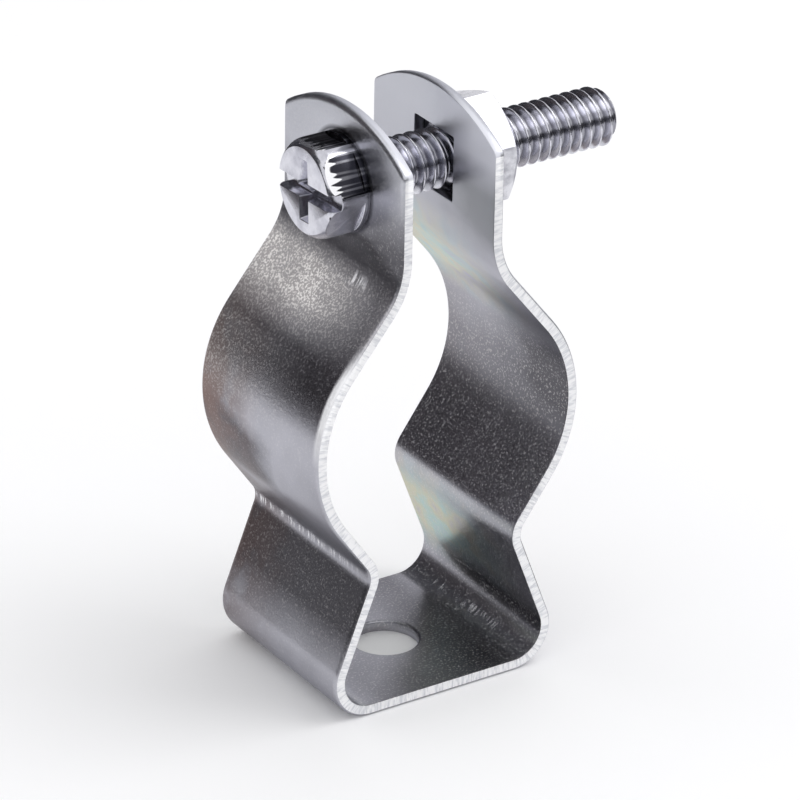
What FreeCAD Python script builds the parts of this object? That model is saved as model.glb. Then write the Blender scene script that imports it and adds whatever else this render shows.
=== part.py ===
import FreeCAD, Part
import math
import os
import Sketcher
from FreeCAD import Placement, Rotation, Vector

# Conduit hanger: a folded steel strap, a clamping screw through its two ears, and a hex nut.
# Origin at the centre of the base hole on the underside, +Z up, +X along the screw from its
# head to its nut, +Y across the strap from the front edge to the back edge. Millimetres.

# Driving dimensions: alias, value, meaning
DIMENSIONS = [
    ("strap_width", 22.2, "width of the strip, seven eighths of an inch"),
    ("strap_gauge", 1.2, "thickness of the sheet, 18 gauge"),
    ("base_reach", 15.35, "centre line to the sharp corner of the base, outer face"),
    ("pinch_reach", 9.1, "centre line to the sharp corner of the pinch, outer face"),
    ("pinch_height", 16.1, "underside to the sharp corner of the pinch"),
    ("saddle_reach", 19.6, "centre line to the sharp corner of the saddle, outer face"),
    ("saddle_height", 30.8, "underside to the sharp corner of the saddle"),
    ("ear_reach", 6.05, "centre line to the outer face of an ear"),
    ("neck_height", 47.6, "underside to the sharp corner of the neck"),
    ("ear_height", 15.7, "sharp corner of the neck to the top of an ear"),
    ("base_bend_radius", 3.25, "inside radius of the two base bends"),
    ("pinch_bend_radius", 2.05, "inside radius of the pinch bends, on the outer face"),
    ("saddle_bend_radius", 13.6, "inside radius of the two conduit saddles"),
    ("neck_bend_radius", 8.0, "inside radius of the neck bends, on the outer face"),
    ("crown_radius", 19.1, "radius of the arched top of an ear"),
    ("ear_corner_radius", 1.0, "rounding of the corners of an ear"),
    ("edge_roll", 0.3, "bevel that the shears leave along the outer face"),
    ("screw_drop", 8.1, "top of an ear to the axis of the screw"),
    ("ear_hole_side", 7.1, "side of the square hole in each ear"),
    ("base_hole_diameter", 7.1, "fixing hole in the base"),
    ("hole_roll", 0.25, "bevelled rim that the punch leaves on the base hole"),
    ("thread_diameter", 6.35, "outside diameter of the quarter inch thread"),
    ("groove_spacing", 1.9, "distance between the grooves of the thread, coarser than the real one"),
    ("thread_depth", 0.75, "depth of those grooves, as deep as the thread"),
    ("thread_neck", 2.2, "least length left plain under the head"),
    ("screw_length", 31.75, "underside of the head to the tip, one and a quarter inch"),
    ("screw_point", 0.9, "chamfer at the tip of the screw"),
    ("head_diameter", 10.45, "screw head across its rounded corners"),
    ("head_height", 4.6, "full height of the head"),
    ("head_shoulder", 3.2, "height of the straight side of the head"),
    ("head_face_diameter", 9.1, "flat face of the head inside its rounded shoulder"),
    ("head_collar", 0.65, "round collar left under the trimmed flats"),
    ("head_flats", 9.53, "trimmed hexagon across flats, three eighths of an inch"),
    ("slot_width", 1.7, "screwdriver slot across the head"),
    ("slot_depth", 1.3, "depth of that slot"),
    ("cross_span", 6.6, "cross recess from arm end to arm end"),
    ("cross_width", 1.6, "width of an arm of the cross at its mouth"),
    ("cross_depth", 2.2, "depth of the cross"),
    ("cross_taper", 10.0, "degrees that the walls of the cross lean inwards"),
    ("head_turn", -3.0, "degrees that the slot is turned from level"),
    ("nut_flats", 11.11, "nut across flats, seven sixteenths of an inch"),
    ("nut_thickness", 5.4, "thickness of the nut"),
    ("nut_face_diameter", 10.55, "flat face of the nut inside its chamfer"),
    ("nut_chamfer", 30.0, "degrees between the chamfer of the corners and the face"),
    ("nut_countersink", 0.4, "chamfer at each mouth of the bore"),
    ("running_clearance", 0.05, "radial gap between the thread and the bore of the nut"),
    ("nut_turn", 40.2, "degrees that a corner of the nut is turned from level"),
]

TINY = 0.001
# How far a cutting sketch runs past what it cuts
MARGIN = 1.0
HEAD_SIDES = 6
# A flat of the head faces half a side away from the slot
FLAT_OFFSET_DEGREES = 30.0
# How far the section of a groove runs out past the shank, as a share of its depth
GROOVE_OVERRUN = 0.25
# Whole grooves that fit between the plain neck and the tip
GROOVE_ROOM = "(Sizes.screw_length - Sizes.screw_point - Sizes.thread_neck)"
GROOVE_COUNT = "floor(%s / Sizes.groove_spacing)" % GROOVE_ROOM
# Heights above the underside that several pieces share
TOP_HEIGHT = "(Sizes.neck_height + Sizes.ear_height)"
SCREW_HEIGHT = "(%s - Sizes.screw_drop)" % TOP_HEIGHT

doc = FreeCAD.newDocument("conduit_hanger")
sheet = doc.addObject("Spreadsheet::Sheet", "Sizes")
for row, (alias, value, meaning) in enumerate(DIMENSIONS, start=1):
    sheet.set("A%d" % row, alias)
    sheet.set("B%d" % row, str(value))
    sheet.set("C%d" % row, meaning)
    sheet.setAlias("B%d" % row, alias)
doc.recompute()


def size(alias):
    """The value of one driving dimension."""
    return float(getattr(sheet, alias))


def top_height():
    """Height of the top of the ears."""
    return size("neck_height") + size("ear_height")


def screw_height():
    """Height of the axis of the screw."""
    return top_height() - size("screw_drop")


def origin_feature(body, role):
    """One of the planes or axes that the body is drawn on."""
    return next(item for item in body.Origin.OriginFeatures if item.Role == role)


def new_sketch(body, name, role, offset="0", turn=0.0):
    """An empty sketch on an origin plane, moved along its normal and turned in the plane."""
    sketch = body.newObject("Sketcher::SketchObject", name)
    sketch.AttachmentSupport = [(origin_feature(body, role), "")]
    sketch.MapMode = "FlatFace"
    sketch.AttachmentOffset = Placement(Vector(0, 0, 0), Rotation(Vector(0, 0, 1), turn))
    sketch.setExpression(".AttachmentOffset.Base.z", offset)
    return sketch


def bind(sketch, name, formula, kind, *places):
    """A named dimension whose value follows the sheet."""
    number = sketch.addConstraint(Sketcher.Constraint(kind, *places))
    sketch.renameConstraint(number, name)
    sketch.setExpression("Constraints." + name, formula)


def draw_loop(sketch, corners):
    """A closed run of straight lines, with the level and upright ones held so."""
    lines = []
    for start, end in zip(corners, corners[1:] + corners[:1]):
        lines.append(sketch.addGeometry(Part.LineSegment(start, end)))
    for line, following in zip(lines, lines[1:] + lines[:1]):
        sketch.addConstraint(Sketcher.Constraint("Coincident", line, 2, following, 1))
    for line, start, end in zip(lines, corners, corners[1:] + corners[:1]):
        if abs(start.y - end.y) < TINY:
            sketch.addConstraint(Sketcher.Constraint("Horizontal", line))
        elif abs(start.x - end.x) < TINY:
            sketch.addConstraint(Sketcher.Constraint("Vertical", line))
    return lines


def draw_rectangle(sketch, low, high, formulas):
    """A rectangle whose left, right, bottom and top follow four formulas."""
    corners = [low, Vector(high.x, low.y, 0), high, Vector(low.x, high.y, 0)]
    bottom, right, top, left = draw_loop(sketch, corners)
    bind(sketch, "left", formulas[0], "DistanceX", -1, 1, left, 1, low.x)
    bind(sketch, "right", formulas[1], "DistanceX", -1, 1, right, 1, high.x)
    bind(sketch, "bottom", formulas[2], "DistanceY", -1, 1, bottom, 1, low.y)
    bind(sketch, "top", formulas[3], "DistanceY", -1, 1, top, 1, high.y)


def draw_circle(sketch, radius_formula):
    """A circle about the origin of its sketch."""
    circle = sketch.addGeometry(Part.Circle(Vector(0, 0, 0), Vector(0, 0, 1), 1.0))
    sketch.addConstraint(Sketcher.Constraint("Coincident", circle, 3, -1, 1))
    bind(sketch, "radius", radius_formula, "Radius", circle, 1.0)


def add_pocket(body, name, sketch, length_formula=None, reverse=False, both_ways=False):
    """A cut along the normal of its sketch, to a depth or right through."""
    pocket = body.newObject("PartDesign::Pocket", name)
    pocket.Profile = sketch
    pocket.Reversed = reverse
    if both_ways:
        pocket.SideType = "Symmetric"
    if length_formula is None:
        pocket.Type = "ThroughAll"
    else:
        pocket.setExpression("Length", length_formula)
    doc.recompute()
    return pocket


def edges_where(feature, wanted):
    """The names of the edges of a feature that pass a test."""
    numbered = enumerate(feature.Shape.Edges, start=1)
    return ["Edge%d" % number for number, edge in numbered if wanted(edge)]


def soften(body, kind, name, base, wanted, formula):
    """A fillet or chamfer on the edges of a feature that pass a test."""
    feature = body.newObject("PartDesign::" + kind, name)
    feature.Base = (base, edges_where(base, wanted))
    feature.setExpression("Radius" if kind == "Fillet" else "Size", formula)
    doc.recompute()
    return feature


# The folded strap

def strap_corners():
    """Sharp corners of the outer face, from the middle of the base up to the right ear."""
    names = [("base_reach", None), ("pinch_reach", "pinch_height")]
    names += [("saddle_reach", "saddle_height"), ("ear_reach", "neck_height")]
    corners = [Vector(0, 0, 0)]
    for reach, height in names:
        corners.append(Vector(size(reach), size(height) if height else 0, 0))
    corners.append(Vector(size("ear_reach"), top_height(), 0))
    return corners, names


def strap_radii():
    """Formula of the radius of each bend on the outer face and on the inner face."""
    inward = ["base_bend_radius", None, "saddle_bend_radius", None]
    outward = [None, "pinch_bend_radius", None, "neck_bend_radius"]
    outer_face = []
    inner_face = []
    for inside, outside in zip(inward, outward):
        tight = "Sizes." + (inside or outside)
        wide = tight + " + Sizes.strap_gauge"
        outer_face.append(wide if inside else tight)
        inner_face.append(tight if inside else wide)
    return outer_face, inner_face


def bend_arcs(corners, radii):
    """Centre, sense of turn, left normals and radius of the bend at each sharp corner."""
    bends = []
    for before, corner, after, radius in zip(corners, corners[1:], corners[2:], radii):
        arriving = (corner - before).normalize()
        leaving = (after - corner).normalize()
        turn = math.copysign(1.0, arriving.x * leaving.y - arriving.y * leaving.x)
        normals = [Vector(-way.y, way.x, 0) for way in (arriving, leaving)]
        setback = radius * math.tan(arriving.getAngle(leaving) / 2)
        centre = corner - arriving * setback + normals[0] * (turn * radius)
        bends.append((centre, turn, normals, radius))
    return bends


def draw_face(sketch, corners, bends, offset):
    """One face of the strip: straight runs joined by tangent arcs, offset to the left."""
    begin = corners[0] + bends[0][2][0] * offset
    finish = corners[-1] + bends[-1][2][1] * offset
    stops = [begin]
    arcs = []
    for centre, turn, normals, outer_radius in bends:
        radius = outer_radius - turn * offset
        ends = [centre - normal * (turn * radius) for normal in normals]
        stops += ends
        angles = [math.atan2(end.y - centre.y, end.x - centre.x) for end in ends]
        if turn < 0:
            angles.reverse()
        circle = Part.Circle(centre, Vector(0, 0, 1), radius)
        arcs.append(sketch.addGeometry(Part.ArcOfCircle(circle, angles[0], angles[1])))
    stops.append(finish)
    lines = []
    for start, end in zip(stops[0::2], stops[1::2]):
        lines.append(sketch.addGeometry(Part.LineSegment(start, end)))
    for number, (arc, bend) in enumerate(zip(arcs, bends)):
        first, last = (1, 2) if bend[1] > 0 else (2, 1)
        sketch.addConstraint(Sketcher.Constraint("Tangent", lines[number], 2, arc, first))
        sketch.addConstraint(Sketcher.Constraint("Tangent", lines[number + 1], 1, arc, last))
    sketch.addConstraint(Sketcher.Constraint("Horizontal", lines[0]))
    sketch.addConstraint(Sketcher.Constraint("Vertical", lines[-1]))
    return lines, arcs


def draw_strap_profile(sketch):
    """Half of the strap seen from the front, as a closed outline one gauge thick."""
    corners, names = strap_corners()
    outer_formulas, inner_formulas = strap_radii()
    radii = [size("base_bend_radius") + size("strap_gauge"), size("pinch_bend_radius")]
    radii += [size("saddle_bend_radius") + size("strap_gauge"), size("neck_bend_radius")]
    bends = bend_arcs(corners, radii)
    lines, arcs = draw_face(sketch, corners, bends, 0.0)
    inner_lines, inner_arcs = draw_face(sketch, corners, bends, size("strap_gauge"))
    for number in range(len(arcs)):
        centres = (arcs[number], 3, inner_arcs[number], 3)
        sketch.addConstraint(Sketcher.Constraint("Coincident", *centres))
        bind(sketch, "outer_%d" % number, outer_formulas[number], "Radius", arcs[number], 1.0)
        bind(sketch, "inner_%d" % number, inner_formulas[number], "Radius", inner_arcs[number], 1.0)
    for number, (reach, height) in enumerate(names):
        corner = corners[number + 1]
        mark = sketch.addGeometry(Part.Point(corner), True)
        for line in lines[number:number + 2]:
            sketch.addConstraint(Sketcher.Constraint("PointOnObject", mark, 1, line))
        bind(sketch, "reach_%d" % number, "Sizes." + reach, "DistanceX", -1, 1, mark, 1, corner.x)
        if height:
            formula = "Sizes." + height
            bind(sketch, "height_%d" % number, formula, "DistanceY", -1, 1, mark, 1, corner.y)
    sketch.addConstraint(Sketcher.Constraint("Coincident", lines[0], 1, -1, 1))
    top = corners[-1]
    bind(sketch, "top", TOP_HEIGHT, "DistanceY", -1, 1, lines[-1], 2, top.y)
    gauge = size("strap_gauge")
    ends = [(lines[-1], 2, inner_lines[-1], 2, top, top - Vector(gauge, 0, 0), "Horizontal")]
    ends += [(lines[0], 1, inner_lines[0], 1, corners[0], Vector(0, gauge, 0), "Vertical")]
    for outer, outer_end, inner, inner_end, start, end, direction in ends:
        cap = sketch.addGeometry(Part.LineSegment(start, end))
        sketch.addConstraint(Sketcher.Constraint("Coincident", cap, 1, outer, outer_end))
        sketch.addConstraint(Sketcher.Constraint("Coincident", cap, 2, inner, inner_end))
        sketch.addConstraint(Sketcher.Constraint(direction, cap))
    return [sketch.Geometry[number].toShape() for number in lines + arcs]


def draw_crown(sketch):
    """What is cut away above the ears: everything over one wide arc."""
    radius = size("crown_radius")
    centre = Vector(0, top_height() - radius, 0)
    reach = size("strap_width") / 2 + MARGIN
    angle = math.acos(reach / radius)
    circle = Part.Circle(centre, Vector(0, 0, 1), radius)
    arc = sketch.addGeometry(Part.ArcOfCircle(circle, angle, math.pi - angle))
    foot = centre.y + radius * math.sin(angle)
    top = top_height() + MARGIN
    corners = [Vector(-reach, foot, 0), Vector(-reach, top, 0)]
    corners += [Vector(reach, top, 0), Vector(reach, foot, 0)]
    lines = []
    for start, end in zip(corners, corners[1:]):
        lines.append(sketch.addGeometry(Part.LineSegment(start, end)))
    joints = [(arc, 2, lines[0], 1), (lines[0], 2, lines[1], 1)]
    joints += [(lines[1], 2, lines[2], 1), (lines[2], 2, arc, 1)]
    for joint in joints:
        sketch.addConstraint(Sketcher.Constraint("Coincident", *joint))
    for line, direction in zip(lines, ("Vertical", "Horizontal", "Vertical")):
        sketch.addConstraint(Sketcher.Constraint(direction, line))
    sketch.addConstraint(Sketcher.Constraint("PointOnObject", arc, 3, -2))
    bind(sketch, "radius", "Sizes.crown_radius", "Radius", arc, radius)
    centre_formula = TOP_HEIGHT + " - Sizes.crown_radius"
    bind(sketch, "centre", centre_formula, "DistanceY", -1, 1, arc, 3, centre.y)
    reach_formula = "Sizes.strap_width / 2 + %g" % MARGIN
    bind(sketch, "right", reach_formula, "DistanceX", -1, 1, arc, 1, reach)
    bind(sketch, "left", "-(%s)" % reach_formula, "DistanceX", -1, 1, arc, 2, -reach)
    top_formula = "%s + %g" % (TOP_HEIGHT, MARGIN)
    bind(sketch, "top", top_formula, "DistanceY", -1, 1, lines[1], 1, top)


def build_strap():
    """The one-piece strap: bent strip, arched ears, square ear holes and round base hole."""
    body = doc.addObject("PartDesign::Body", "hanger_strap")
    profile = new_sketch(body, "strap_profile", "XZ_Plane")
    outer_face = draw_strap_profile(profile)
    half = body.newObject("PartDesign::Pad", "half_strap")
    half.Profile = profile
    half.SideType = "Symmetric"
    half.setExpression("Length", "Sizes.strap_width")
    doc.recompute()
    whole = body.newObject("PartDesign::Mirrored", "whole_strap")
    whole.Originals = [half]
    whole.MirrorPlane = (origin_feature(body, "YZ_Plane"), [""])
    body.Tip = whole
    doc.recompute()

    crown = new_sketch(body, "crown_outline", "YZ_Plane")
    draw_crown(crown)
    arched = add_pocket(body, "arched_ears", crown, both_ways=True)
    half_width = size("strap_width") / 2

    def ear_corner(edge):
        box = edge.BoundBox
        across = box.YLength < TINY and box.ZLength < TINY
        at_side = abs(abs(box.YMin) - half_width) < TINY
        return across and at_side and box.ZMin > size("neck_height")

    rounded = soften(body, "Fillet", "ear_corners", arched, ear_corner, "Sizes.ear_corner_radius")

    def outer_rim(edge):
        box = edge.BoundBox
        bend_line = box.XLength < TINY and box.ZLength < TINY
        middle = edge.valueAt((edge.FirstParameter + edge.LastParameter) / 2)
        spot = Part.Vertex(Vector(abs(middle.x), middle.z, 0))
        on_outer_face = min(spot.distToShape(piece)[0] for piece in outer_face) < TINY
        return on_outer_face and not bend_line

    soften(body, "Chamfer", "sheared_edges", rounded, outer_rim, "Sizes.edge_roll")

    square = new_sketch(body, "ear_hole_outline", "YZ_Plane")
    half_side = size("ear_hole_side") / 2
    low = Vector(-half_side, screw_height() - half_side, 0)
    high = Vector(half_side, screw_height() + half_side, 0)
    formulas = ["-Sizes.ear_hole_side / 2", "Sizes.ear_hole_side / 2"]
    formulas += [SCREW_HEIGHT + " - Sizes.ear_hole_side / 2"]
    formulas += [SCREW_HEIGHT + " + Sizes.ear_hole_side / 2"]
    draw_rectangle(square, low, high, formulas)
    add_pocket(body, "ear_holes", square, both_ways=True)

    circle = new_sketch(body, "base_hole_outline", "XY_Plane")
    draw_circle(circle, "Sizes.base_hole_diameter / 2")
    pierced = add_pocket(body, "base_hole", circle, "Sizes.strap_gauge", reverse=True)

    def upper_rim(edge):
        box = edge.BoundBox
        level = box.ZLength < TINY and abs(box.ZMin - size("strap_gauge")) < TINY
        return level and isinstance(edge.Curve, Part.Circle)

    soften(body, "Chamfer", "base_hole_rim", pierced, upper_rim, "Sizes.hole_roll")
    return body


# The clamping screw, drawn along X with the underside of its head at zero

def draw_screw_profile(sketch):
    """Half section of the screw, from the face of the head to the tip."""
    height = size("head_height")
    shoulder = size("head_shoulder")
    head = size("head_diameter") / 2
    face = size("head_face_diameter") / 2
    shank = size("thread_diameter") / 2
    length = size("screw_length")
    point = size("screw_point")
    stops = [(-shoulder, head), (0, head), (0, shank), (length - point, shank)]
    stops += [(length, shank - point), (length, 0), (-height, 0), (-height, face)]
    corners = [Vector(along, radius, 0) for along, radius in stops]
    lines = []
    for start, end in zip(corners, corners[1:]):
        lines.append(sketch.addGeometry(Part.LineSegment(start, end)))
    for line, following in zip(lines, lines[1:]):
        sketch.addConstraint(Sketcher.Constraint("Coincident", line, 2, following, 1))
    side, underside, shaft, tip_chamfer, tip, axis, front = lines
    for line in (side, shaft):
        sketch.addConstraint(Sketcher.Constraint("Horizontal", line))
    for line in (underside, tip, front):
        sketch.addConstraint(Sketcher.Constraint("Vertical", line))
    for end in (1, 2):
        sketch.addConstraint(Sketcher.Constraint("PointOnObject", axis, end, -1))
    rise = height - shoulder
    drop = head - face
    radius = (rise * rise + drop * drop) / (2 * drop)
    circle = Part.Circle(Vector(-shoulder, head - radius, 0), Vector(0, 0, 1), radius)
    end_angle = math.pi / 2 + math.asin(min(1.0, rise / radius))
    dome = sketch.addGeometry(Part.ArcOfCircle(circle, math.pi / 2, end_angle))
    sketch.addConstraint(Sketcher.Constraint("Tangent", side, 1, dome, 1))
    sketch.addConstraint(Sketcher.Constraint("Coincident", front, 2, dome, 2))
    along = [("shoulder", "-Sizes.head_shoulder", side, 1, -shoulder)]
    along += [("seat", "0", underside, 2, 0.0)]
    along += [("point", "Sizes.screw_length - Sizes.screw_point", shaft, 2, length - point)]
    along += [("length", "Sizes.screw_length", tip, 2, length)]
    along += [("height", "-Sizes.head_height", front, 1, -height)]
    for name, formula, line, end, value in along:
        bind(sketch, name, formula, "DistanceX", -1, 1, line, end, value)
    across = [("head", "Sizes.head_diameter / 2", side, 1, head)]
    across += [("shank", "Sizes.thread_diameter / 2", shaft, 1, shank)]
    across += [("tip", "Sizes.thread_diameter / 2 - Sizes.screw_point", tip, 1, shank - point)]
    across += [("face", "Sizes.head_face_diameter / 2", front, 2, face)]
    for name, formula, line, end, value in across:
        bind(sketch, name, formula, "DistanceY", -1, 1, line, end, value)


def draw_groove_section(sketch):
    """The groove nearest the tip: a vee as wide as the spacing at the face of the shank."""
    spacing = size("groove_spacing")
    depth = size("thread_depth")
    end = size("screw_length") - size("screw_point")
    centre = end - spacing / 2
    reach = spacing / 2 * (1 + GROOVE_OVERRUN)
    rim = size("thread_diameter") / 2 + depth * GROOVE_OVERRUN
    root = size("thread_diameter") / 2 - depth
    corners = [Vector(centre - reach, rim, 0), Vector(centre + reach, rim, 0)]
    corners += [Vector(centre, root, 0)]
    level, falling, rising = draw_loop(sketch, corners)
    middle = "Sizes.screw_length - Sizes.screw_point - Sizes.groove_spacing / 2"
    spread = "Sizes.groove_spacing / 2 * %g" % (1 + GROOVE_OVERRUN)
    left = "%s - %s" % (middle, spread)
    right = "%s + %s" % (middle, spread)
    bind(sketch, "left", left, "DistanceX", -1, 1, level, 1, centre - reach)
    bind(sketch, "right", right, "DistanceX", -1, 1, level, 2, centre + reach)
    bind(sketch, "middle", middle, "DistanceX", -1, 1, falling, 2, centre)
    rim_formula = "Sizes.thread_diameter / 2 + Sizes.thread_depth * %g" % GROOVE_OVERRUN
    bind(sketch, "rim", rim_formula, "DistanceY", -1, 1, level, 1, rim)
    root_formula = "Sizes.thread_diameter / 2 - Sizes.thread_depth"
    bind(sketch, "root", root_formula, "DistanceY", -1, 1, rising, 1, root)


def draw_cross(sketch):
    """The mouth of the cross recess: four arms at right angles."""
    reach = size("cross_span") / 2
    half = size("cross_width") / 2
    arm = [(reach, -half), (reach, half), (half, half)]
    corners = []
    for quarter in range(4):
        turn = Rotation(Vector(0, 0, 1), 90 * quarter)
        corners += [turn.multVec(Vector(x, y, 0)) for x, y in arm]
    lines = draw_loop(sketch, corners)
    formulas = {reach: "Sizes.cross_span / 2", half: "Sizes.cross_width / 2"}
    for number, (line, corner) in enumerate(zip(lines, corners)):
        following = corners[(number + 1) % len(corners)]
        upright = abs(corner.x - following.x) < TINY
        value = corner.x if upright else corner.y
        nearest = min(formulas, key=lambda distance: abs(distance - abs(value)))
        formula = formulas[nearest] if value > 0 else "-(%s)" % formulas[nearest]
        kind = "DistanceX" if upright else "DistanceY"
        bind(sketch, "side_%d" % number, formula, kind, -1, 1, line, 1, value)


def build_screw():
    """The screw: head trimmed to six flats, slot and cross recess, grooved shank, chamfered tip."""
    body = doc.addObject("PartDesign::Body", "clamp_screw")
    profile = new_sketch(body, "screw_profile", "XY_Plane")
    draw_screw_profile(profile)
    turned = body.newObject("PartDesign::Revolution", "turned_blank")
    turned.Profile = profile
    turned.ReferenceAxis = (profile, ["H_Axis"])
    doc.recompute()

    section = new_sketch(body, "groove_section", "XY_Plane")
    draw_groove_section(section)
    groove = body.newObject("PartDesign::Groove", "thread_groove")
    groove.Profile = section
    groove.ReferenceAxis = (section, ["H_Axis"])
    doc.recompute()
    grooves = body.newObject("PartDesign::LinearPattern", "thread_grooves")
    grooves.Originals = [groove]
    grooves.Direction = (origin_feature(body, "X_Axis"), [""])
    grooves.Reversed = True
    grooves.setExpression("Occurrences", GROOVE_COUNT)
    grooves.setExpression("Length", "Sizes.groove_spacing * (%s - 1)" % GROOVE_COUNT)
    body.Tip = grooves
    doc.recompute()

    head = size("head_diameter")
    flats = new_sketch(body, "flat_outline", "YZ_Plane", "-Sizes.head_collar", FLAT_OFFSET_DEGREES)
    low = Vector(size("head_flats") / 2, -head, 0)
    formulas = ["Sizes.head_flats / 2", "Sizes.head_diameter"]
    formulas += ["-Sizes.head_diameter", "Sizes.head_diameter"]
    draw_rectangle(flats, low, Vector(head, head, 0), formulas)
    trimmed = add_pocket(body, "trimmed_flat", flats)
    pattern = body.newObject("PartDesign::PolarPattern", "trimmed_flats")
    pattern.Originals = [trimmed]
    pattern.Axis = (origin_feature(body, "X_Axis"), [""])
    pattern.Angle = 360
    pattern.Occurrences = HEAD_SIDES
    body.Tip = pattern
    doc.recompute()

    slot = new_sketch(body, "slot_outline", "YZ_Plane", "-Sizes.head_height")
    half = size("slot_width") / 2
    formulas = ["-Sizes.head_diameter", "Sizes.head_diameter"]
    formulas += ["-Sizes.slot_width / 2", "Sizes.slot_width / 2"]
    draw_rectangle(slot, Vector(-head, -half, 0), Vector(head, half, 0), formulas)
    add_pocket(body, "driver_slot", slot, "Sizes.slot_depth", reverse=True)

    cross = new_sketch(body, "cross_outline", "YZ_Plane", "-Sizes.head_height")
    draw_cross(cross)
    recess = add_pocket(body, "cross_recess", cross, "Sizes.cross_depth", reverse=True)
    recess.setExpression("TaperAngle", "-Sizes.cross_taper")

    body.Placement = Placement(Vector(0, 0, 0), Rotation(Vector(1, 0, 0), size("head_turn")))
    body.setExpression(".Placement.Base.x", "-Sizes.ear_reach")
    body.setExpression(".Placement.Base.z", SCREW_HEIGHT)
    doc.recompute()
    return body


# The nut, drawn along X with its bearing face at zero

def draw_hexagon(sketch):
    """A regular hexagon on a construction circle, with one corner on the level axis."""
    radius = size("nut_flats") / math.sqrt(3)
    ring = sketch.addGeometry(Part.Circle(Vector(0, 0, 0), Vector(0, 0, 1), radius), True)
    sketch.addConstraint(Sketcher.Constraint("Coincident", ring, 3, -1, 1))
    bind(sketch, "corner_radius", "Sizes.nut_flats / sqrt(3)", "Radius", ring, radius)
    angles = [math.radians(60 * side) for side in range(6)]
    corners = [Vector(radius * math.cos(angle), radius * math.sin(angle), 0) for angle in angles]
    lines = []
    for start, end in zip(corners, corners[1:] + corners[:1]):
        lines.append(sketch.addGeometry(Part.LineSegment(start, end)))
    for line, following in zip(lines, lines[1:] + lines[:1]):
        sketch.addConstraint(Sketcher.Constraint("Coincident", line, 2, following, 1))
        sketch.addConstraint(Sketcher.Constraint("PointOnObject", line, 1, ring))
    for line in lines[1:]:
        sketch.addConstraint(Sketcher.Constraint("Equal", lines[0], line))
    sketch.addConstraint(Sketcher.Constraint("PointOnObject", lines[0], 1, -1))


def draw_corner_chamfer(sketch, end_formula, end, inward):
    """The triangle that is turned off the corners at one end of the nut."""
    face = size("nut_face_diameter") / 2
    outside = size("nut_flats")
    depth = (outside - face) * math.tan(math.radians(size("nut_chamfer")))
    corners = [Vector(end, face, 0), Vector(end, outside, 0)]
    corners += [Vector(end + inward * depth, outside, 0)]
    upright, level, slope = draw_loop(sketch, corners)
    bind(sketch, "end", end_formula, "DistanceX", -1, 1, upright, 1, end)
    bind(sketch, "face", "Sizes.nut_face_diameter / 2", "DistanceY", -1, 1, upright, 1, face)
    bind(sketch, "outside", "Sizes.nut_flats", "DistanceY", -1, 1, level, 1, outside)
    depth_formula = "(Sizes.nut_flats - Sizes.nut_face_diameter / 2) * tan(Sizes.nut_chamfer * 1deg)"
    sign = "+" if inward > 0 else "-"
    formula = "%s %s %s" % (end_formula, sign, depth_formula)
    bind(sketch, "depth", formula, "DistanceX", -1, 1, level, 2, end + inward * depth)


def build_nut():
    """The nut: a hexagon chamfered at both ends, bored to run on the thread."""
    body = doc.addObject("PartDesign::Body", "hex_nut")
    outline = new_sketch(body, "nut_outline", "YZ_Plane")
    draw_hexagon(outline)
    block = body.newObject("PartDesign::Pad", "nut_blank")
    block.Profile = outline
    block.setExpression("Length", "Sizes.nut_thickness")
    doc.recompute()

    ends = [("seat_chamfer", "0", 0.0, 1)]
    ends += [("outer_chamfer", "Sizes.nut_thickness", size("nut_thickness"), -1)]
    for name, end_formula, end, inward in ends:
        triangle = new_sketch(body, name + "_outline", "XY_Plane")
        draw_corner_chamfer(triangle, end_formula, end, inward)
        groove = body.newObject("PartDesign::Groove", name)
        groove.Profile = triangle
        groove.ReferenceAxis = (triangle, ["H_Axis"])
        doc.recompute()

    circle = new_sketch(body, "bore_outline", "YZ_Plane")
    draw_circle(circle, "Sizes.thread_diameter / 2 + Sizes.running_clearance")
    bored = add_pocket(body, "nut_bore", circle, both_ways=True)
    bore = size("thread_diameter") / 2 + size("running_clearance")

    def bore_mouth(edge):
        return isinstance(edge.Curve, Part.Circle) and abs(edge.Curve.Radius - bore) < TINY

    soften(body, "Chamfer", "bore_countersinks", bored, bore_mouth, "Sizes.nut_countersink")

    body.Placement = Placement(Vector(0, 0, 0), Rotation(Vector(1, 0, 0), size("nut_turn")))
    body.setExpression(".Placement.Base.x", "Sizes.ear_reach")
    body.setExpression(".Placement.Base.z", SCREW_HEIGHT)
    doc.recompute()
    return body


pieces = [build_strap(), build_screw(), build_nut()]
doc.recompute()

# Every object has to be sound before anything is written
for item in doc.Objects:
    if "Invalid" in item.State or "Error" in item.State:
        raise RuntimeError("%s failed: %s" % (item.Name, item.State))
for piece in pieces:
    if piece.Shape.isNull() or not piece.Shape.isValid():
        raise RuntimeError("%s has no valid shape" % piece.Label)
    if len(piece.Shape.Solids) != 1:
        raise RuntimeError("%s is not one solid" % piece.Label)

os.makedirs("parts", exist_ok=True)
for piece in pieces:
    piece.Shape.exportStep("parts/%s.step" % piece.Label)
    box = piece.Shape.BoundBox
    spans = (box.XMin, box.XMax, box.YMin, box.YMax, box.ZMin, box.ZMax)
    print(piece.Label, "volume %.1f" % piece.Shape.Volume, "box", ["%.2f" % span for span in spans])
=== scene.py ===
# %% [markdown]
# # A conduit hanger of zinc plated steel
# The real hanger is a strip of sheet steel, folded into two legs that pinch in, swell out round
# the conduit and rise into two upright ears. A slotted hex screw and a nut draw the ears
# together. The CAD frame holds the true shapes and sizes. This file makes finer copies of
# those pieces, with the rolled edges, threads and trim marks that the real one shows, and
# gives each a finish.

# %% Load the CAD frame
import math
import bmesh
import bpy
from mathutils import Matrix, Vector
from mathutils.geometry import delaunay_2d_cdt


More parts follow.
